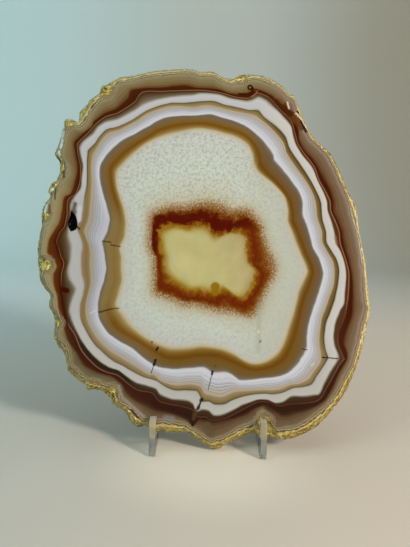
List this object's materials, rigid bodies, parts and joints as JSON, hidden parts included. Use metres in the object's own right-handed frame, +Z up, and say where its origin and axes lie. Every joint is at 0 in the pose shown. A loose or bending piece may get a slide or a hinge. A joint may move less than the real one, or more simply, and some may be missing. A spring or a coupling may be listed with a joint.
{
  "type": "sardonyx slice on stand",
  "caption": "Polished banded sardonyx slice with a gilded rough rim, leaning back in a clear easel stand with lips in front and a rest behind.",
  "frame": {"origin": "middle of the bounding box's footprint, on the surface that the easel stands on", "axes": "+X to the right across the polished face as seen from the front, +Y from the front lips towards the back of the easel, +Z up"},
  "size_m": [0.1616, 0.085, 0.1803],
  "materials": {
    "sardonyx": "polished faces, rough gilded rim",
    "clear_acrylic": "clear, polished"
  },
  "bodies": {
    "root": {"sardonyx_slice": "sardonyx", "stand_left_side": "clear_acrylic", "stand_right_side": "clear_acrylic", "stand_upper_bar": "clear_acrylic", "stand_lower_bar": "clear_acrylic"}
  },
  "joints": []
}
